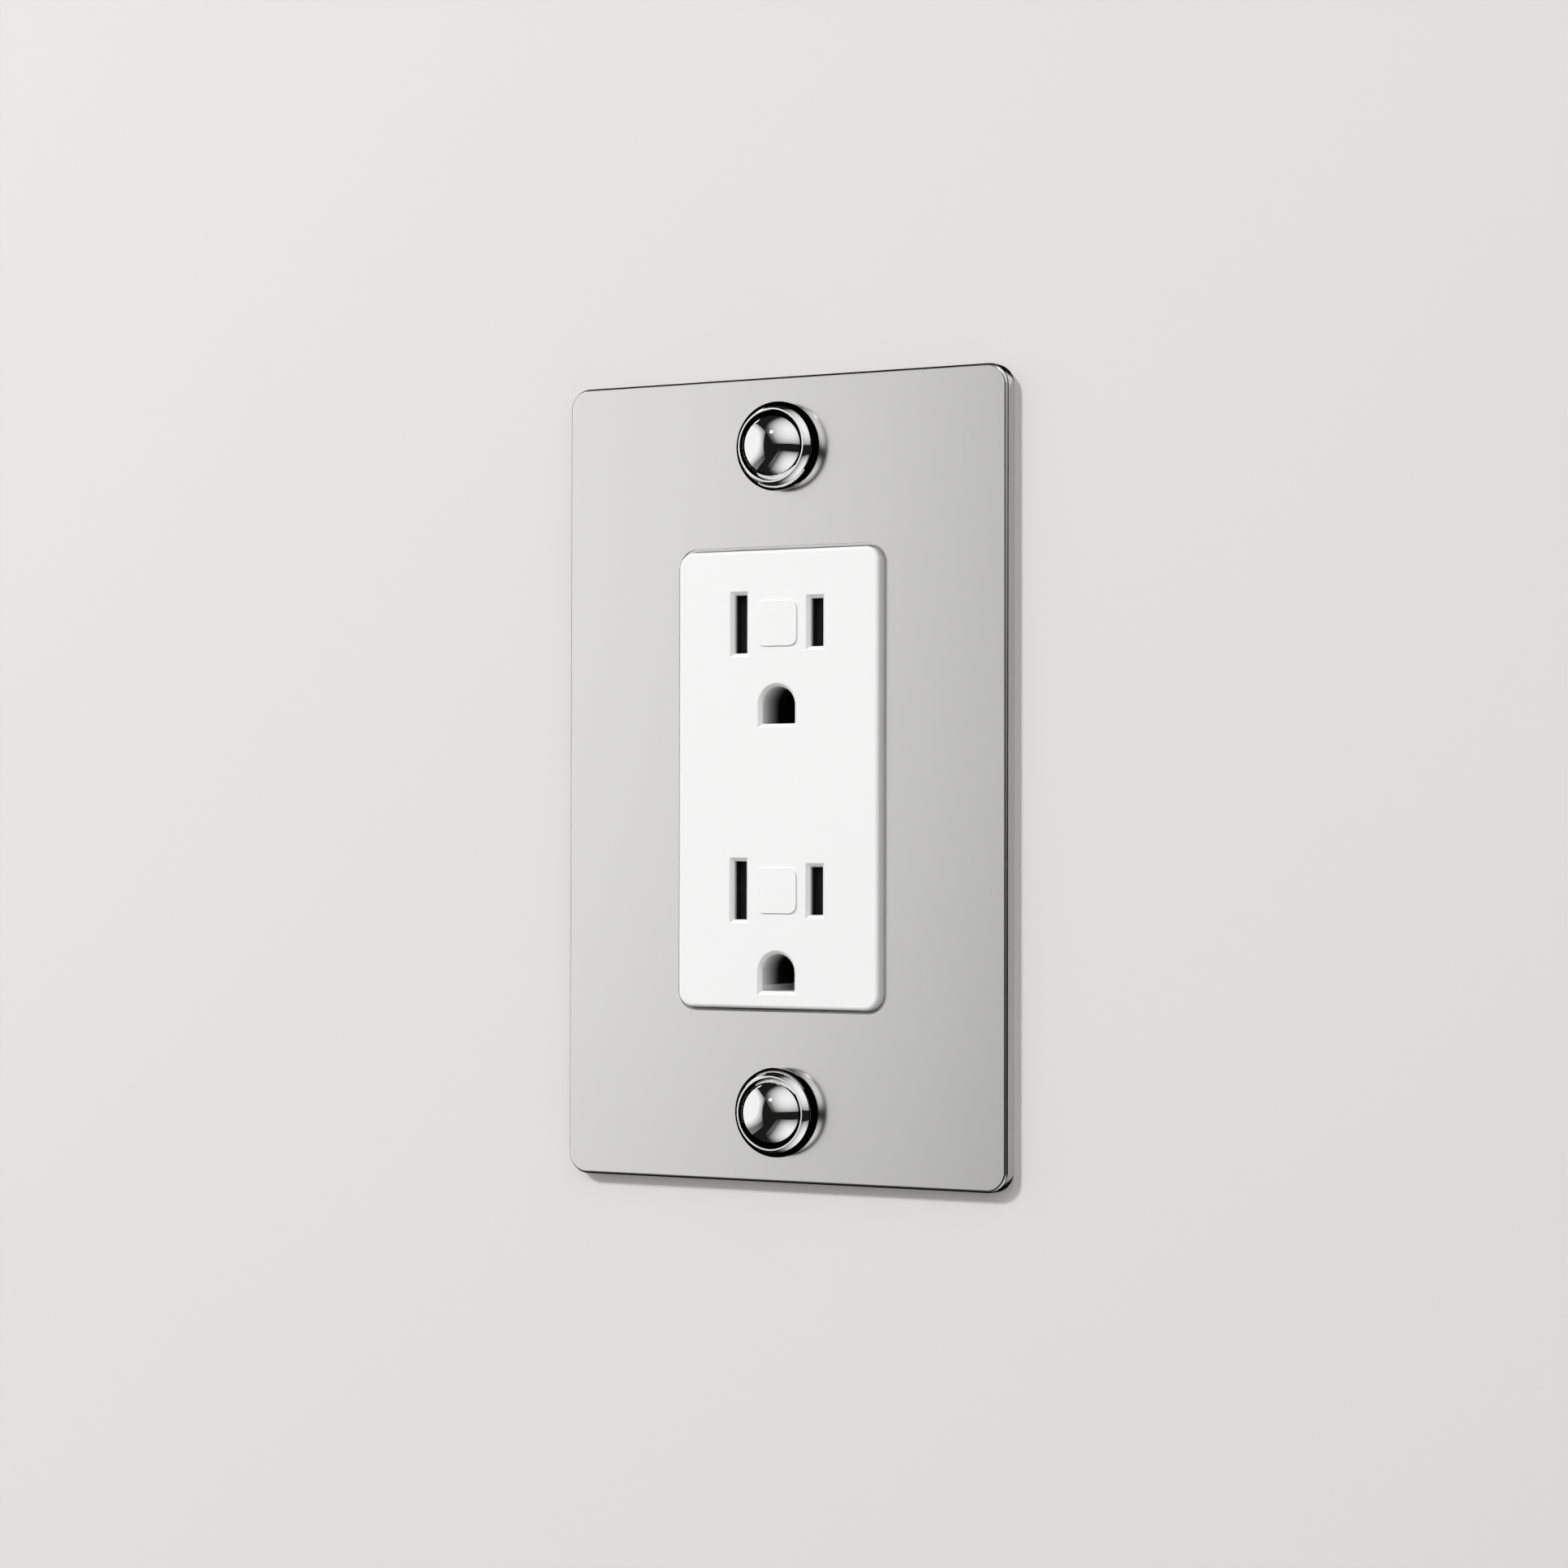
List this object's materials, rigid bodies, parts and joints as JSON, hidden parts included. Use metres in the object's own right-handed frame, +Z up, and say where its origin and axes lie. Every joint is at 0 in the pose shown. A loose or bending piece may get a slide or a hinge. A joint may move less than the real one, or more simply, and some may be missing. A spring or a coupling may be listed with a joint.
{
  "type": "duplex receptacle with wall plate",
  "caption": "Satin nickel decorator wall plate with ball-headed screws over a white tamper-resistant duplex receptacle with side terminals and a steel strap.",
  "frame": {"origin": "centre of the two box screws, in the plane of the wall's surface that the plate's rim rests on", "axes": "+Y into the wall, front faces -Y, +Z up, +X to the right as seen from the front"},
  "size_m": [0.073, 0.0372, 0.1174],
  "materials": {
    "satin_nickel": "satin",
    "polished_nickel": "polished",
    "screw_steel": "zinc plated",
    "nylon": "matte",
    "white_face": "satin gloss",
    "body_plastic": "matte",
    "strap_steel": "galvanised",
    "contact_brass": "satin",
    "hot_screw_brass": "satin",
    "neutral_screw_nickel": "satin",
    "green_lacquer": "gloss",
    "shutter_plastic": "matte",
    "tray_plastic": "matte",
    "spring_steel": "bright",
    "retainer_fibre": "fibre"
  },
  "bodies": {
    "receptacle": {"wall_plate": "satin_nickel", "face_cover": "white_face", "rear_body": "body_plastic", "mounting_strap": "strap_steel", "hot_contact_strip": "contact_brass", "neutral_contact_strip": "contact_brass", "ground_contact": "contact_brass", "ground_rivets": "screw_steel", "assembly_screws": "screw_steel", "box_screws": "screw_steel", "retaining_washers": "retainer_fibre", "upper_shutter_tray": "tray_plastic", "lower_shutter_tray": "tray_plastic", "upper_shutter_spring": "spring_steel", "lower_shutter_spring": "spring_steel"},
    "upper_screw_washer": {"upper_dome_washer": "nylon"},
    "upper_plate_screw": {"upper_dome_base": "polished_nickel", "upper_dome_cap": "polished_nickel", "upper_dome_stud": "screw_steel"},
    "lower_screw_washer": {"lower_dome_washer": "nylon"},
    "lower_plate_screw": {"lower_dome_base": "polished_nickel", "lower_dome_cap": "polished_nickel", "lower_dome_stud": "screw_steel"},
    "upper_hot_clamp": {"upper_hot_clamp_plate": "contact_brass"},
    "upper_hot_screw": {"upper_hot_terminal_screw": "hot_screw_brass"},
    "lower_hot_clamp": {"lower_hot_clamp_plate": "contact_brass"},
    "lower_hot_screw": {"lower_hot_terminal_screw": "hot_screw_brass"},
    "upper_neutral_clamp": {"upper_neutral_clamp_plate": "neutral_screw_nickel"},
    "upper_neutral_screw": {"upper_neutral_terminal_screw": "neutral_screw_nickel"},
    "lower_neutral_clamp": {"lower_neutral_clamp_plate": "neutral_screw_nickel"},
    "lower_neutral_screw": {"lower_neutral_terminal_screw": "neutral_screw_nickel"},
    "ground_washer": {"ground_clamp_washer": "screw_steel"},
    "ground_screw": {"ground_terminal_screw": "green_lacquer"},
    "upper_shutter_slider": {"upper_shutter": "shutter_plastic"},
    "lower_shutter_slider": {"lower_shutter": "shutter_plastic"}
  },
  "joints": [
    {"name": "upper_plate_screw_travel", "type": "slide", "parent": "receptacle", "child": "upper_screw_washer", "axis": [0, -1, 0], "range_m": [0, 0.00635]},
    {"name": "upper_plate_screw_turn", "type": "hinge", "parent": "upper_screw_washer", "child": "upper_plate_screw", "pos_m": [0, -0.0024, 0.04842], "axis": [0, -1, 0], "range_deg": [0, 2880]},
    {"name": "lower_plate_screw_travel", "type": "slide", "parent": "receptacle", "child": "lower_screw_washer", "axis": [0, -1, 0], "range_m": [0, 0.00635]},
    {"name": "lower_plate_screw_turn", "type": "hinge", "parent": "lower_screw_washer", "child": "lower_plate_screw", "pos_m": [0, -0.0024, -0.04842], "axis": [0, -1, 0], "range_deg": [0, 2880]},
    {"name": "upper_hot_clamp_travel", "type": "slide", "parent": "receptacle", "child": "upper_hot_clamp", "axis": [1, 0, 0], "range_m": [0, 0.00238]},
    {"name": "upper_hot_screw_turn", "type": "hinge", "parent": "upper_hot_clamp", "child": "upper_hot_screw", "pos_m": [0.0178, 0.017, 0.0095], "axis": [1, 0, 0], "range_deg": [0, 1080]},
    {"name": "lower_hot_clamp_travel", "type": "slide", "parent": "receptacle", "child": "lower_hot_clamp", "axis": [1, 0, 0], "range_m": [0, 0.00238]},
    {"name": "lower_hot_screw_turn", "type": "hinge", "parent": "lower_hot_clamp", "child": "lower_hot_screw", "pos_m": [0.0178, 0.017, -0.0095], "axis": [1, 0, 0], "range_deg": [0, 1080]},
    {"name": "upper_neutral_clamp_travel", "type": "slide", "parent": "receptacle", "child": "upper_neutral_clamp", "axis": [-1, 0, 0], "range_m": [0, 0.00238]},
    {"name": "upper_neutral_screw_turn", "type": "hinge", "parent": "upper_neutral_clamp", "child": "upper_neutral_screw", "pos_m": [-0.0178, 0.017, 0.0095], "axis": [-1, 0, 0], "range_deg": [0, 1080]},
    {"name": "lower_neutral_clamp_travel", "type": "slide", "parent": "receptacle", "child": "lower_neutral_clamp", "axis": [-1, 0, 0], "range_m": [0, 0.00238]},
    {"name": "lower_neutral_screw_turn", "type": "hinge", "parent": "lower_neutral_clamp", "child": "lower_neutral_screw", "pos_m": [-0.0178, 0.017, -0.0095], "axis": [-1, 0, 0], "range_deg": [0, 1080]},
    {"name": "ground_washer_travel", "type": "slide", "parent": "receptacle", "child": "ground_washer", "axis": [-1, 0, 0], "range_m": [0, 0.00238]},
    {"name": "ground_screw_turn", "type": "hinge", "parent": "ground_washer", "child": "ground_screw", "pos_m": [-0.0091, 0.02, -0.041], "axis": [-1, 0, 0], "range_deg": [0, 1080]},
    {"name": "upper_shutter_slide", "type": "slide", "parent": "receptacle", "child": "upper_shutter_slider", "axis": [1, 0, 0], "range_m": [0, 0.0032], "stiffness_N_per_m": 120, "springref_m": -0.004, "deforming": ["upper_shutter_spring"]},
    {"name": "lower_shutter_slide", "type": "slide", "parent": "receptacle", "child": "lower_shutter_slider", "axis": [1, 0, 0], "range_m": [0, 0.0032], "stiffness_N_per_m": 120, "springref_m": -0.004, "deforming": ["lower_shutter_spring"]}
  ],
  "couplings": [
    {"joint": "upper_plate_screw_turn", "follows": "upper_plate_screw_travel", "rad_per_m": 7915.8},
    {"joint": "lower_plate_screw_turn", "follows": "lower_plate_screw_travel", "rad_per_m": 7915.8},
    {"joint": "upper_hot_screw_turn", "follows": "upper_hot_clamp_travel", "rad_per_m": 7915.8},
    {"joint": "lower_hot_screw_turn", "follows": "lower_hot_clamp_travel", "rad_per_m": 7915.8},
    {"joint": "upper_neutral_screw_turn", "follows": "upper_neutral_clamp_travel", "rad_per_m": 7915.8},
    {"joint": "lower_neutral_screw_turn", "follows": "lower_neutral_clamp_travel", "rad_per_m": 7915.8},
    {"joint": "ground_screw_turn", "follows": "ground_washer_travel", "rad_per_m": 7915.8}
  ]
}
